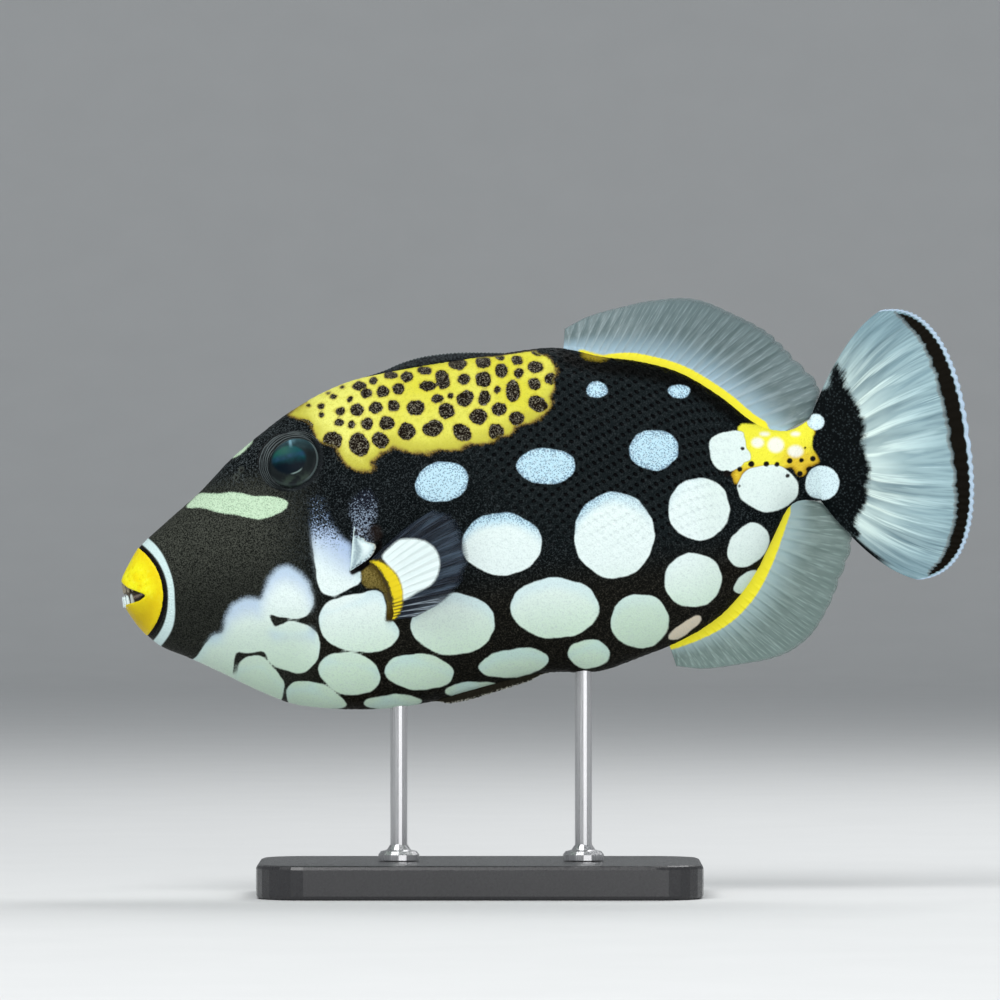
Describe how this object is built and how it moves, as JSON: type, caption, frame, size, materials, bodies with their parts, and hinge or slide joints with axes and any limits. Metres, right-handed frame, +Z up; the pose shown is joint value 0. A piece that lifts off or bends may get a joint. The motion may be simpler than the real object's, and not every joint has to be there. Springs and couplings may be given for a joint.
{
  "type": "clown triggerfish model",
  "caption": "Life-size still model of a clown triggerfish, tail up and fins spread, on a flat base with upright rods.",
  "frame": {"origin": "middle of the underside of the stand's base", "axes": "+Z up; +X from the fish's head towards its tail; +Y towards the fish's right side"},
  "size_m": [0.2502, 0.074, 0.175],
  "materials": {
    "black_skin": "cast and painted fish skin, near black with white spots and a yellow saddle, fine granular scales, satin",
    "yellow_lips": "smooth painted lips, bright yellow, satin",
    "eye": "polished dark eye with a blue-green sheen",
    "gill_flap": "thin pale flap of skin, satin",
    "clear_fin": "translucent pale blue-grey membrane over raised rays, yellow along its root",
    "tail_fin": "translucent pale membrane over forked rays, black root and a black band inside a pale edge",
    "pectoral_fin": "smoky translucent membrane over raised rays, yellow crescent and a white spot at its root",
    "black_base": "plain black base, satin",
    "steel_rod": "plain turned rods with a small collar"
  },
  "bodies": {
    "root": {"head": "black_skin", "torso": "black_skin", "tail_stem": "black_skin", "pelvic_flap": "black_skin", "first_dorsal_fin": "black_skin", "lip_upper": "yellow_lips", "lip_lower": "yellow_lips", "eye_left": "eye", "eye_right": "eye", "gill_flap_left": "gill_flap", "gill_flap_right": "gill_flap", "second_dorsal_fin": "clear_fin", "anal_fin": "clear_fin", "caudal_fin": "tail_fin", "pectoral_fin_left": "pectoral_fin", "pectoral_fin_right": "pectoral_fin", "stand_base": "black_base", "stand_rod_front": "steel_rod", "stand_rod_rear": "steel_rod"}
  },
  "joints": []
}
